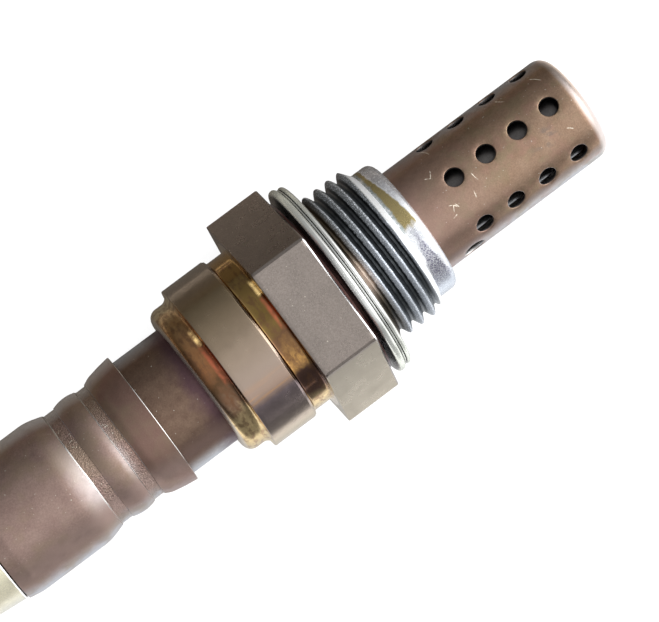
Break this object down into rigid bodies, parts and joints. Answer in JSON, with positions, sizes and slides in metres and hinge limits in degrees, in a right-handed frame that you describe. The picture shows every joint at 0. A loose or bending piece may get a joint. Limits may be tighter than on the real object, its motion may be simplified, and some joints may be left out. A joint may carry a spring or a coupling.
{
  "type": "oxygen sensor",
  "caption": "Heated exhaust gas probe: perforated tip tube, threaded steel shell with hexagon and crush ring, crimped air-side sleeves and rubber lead bush.",
  "frame": {"origin": "on the axis, in the plane of the gasket's sealing face", "axes": "+X along the axis to the perforated tip; +Z is the normal of one flat of the hexagon, up as the part lies on its gasket rim and tail; +Y completes the frame"},
  "size_m": [0.0907, 0.0252, 0.0232],
  "materials": {
    "shell_steel": "satin turned steel, heat-tinted gold at neck and rolled end",
    "gasket_steel": "bright pressed strip",
    "cover_steel": "heat-browned satin sheet",
    "inner_cover_steel": "dull grey sheet",
    "packing_steel": "plain",
    "air_tube_steel": "dark heat-browned sheet",
    "sleeve_steel": "heat-browned satin sheet",
    "bright_steel": "pale straw-tinted bright sheet",
    "contact_steel": "plain strip",
    "zirconia": "matt",
    "heater_ceramic": "matt",
    "insulator_ceramic": "matt",
    "talc": "pressed powder",
    "filter_fluoroplastic": "porous matt",
    "grommet_rubber": "matt black"
  },
  "bodies": {
    "root": {"housing": "shell_steel", "seal_gasket": "gasket_steel", "outer_protection_cover": "cover_steel", "inner_protection_cover": "inner_cover_steel", "sensing_element": "zirconia", "heater_rod": "heater_ceramic", "seat_washer": "packing_steel", "talc_seal": "talc", "pressure_sleeve": "insulator_ceramic", "crimp_ring": "packing_steel", "air_side_tube": "air_tube_steel", "breather_filter": "filter_fluoroplastic", "outer_sleeve": "sleeve_steel", "rear_sleeve": "bright_steel", "lead_grommet": "grommet_rubber", "terminal_insulator": "insulator_ceramic", "insulator_spring": "contact_steel", "signal_contact": "contact_steel", "ground_contact": "contact_steel", "heater_contact_1": "contact_steel", "heater_contact_2": "contact_steel", "lead_terminal_1": "contact_steel", "lead_terminal_2": "contact_steel", "lead_terminal_3": "contact_steel", "lead_terminal_4": "contact_steel"}
  },
  "joints": []
}
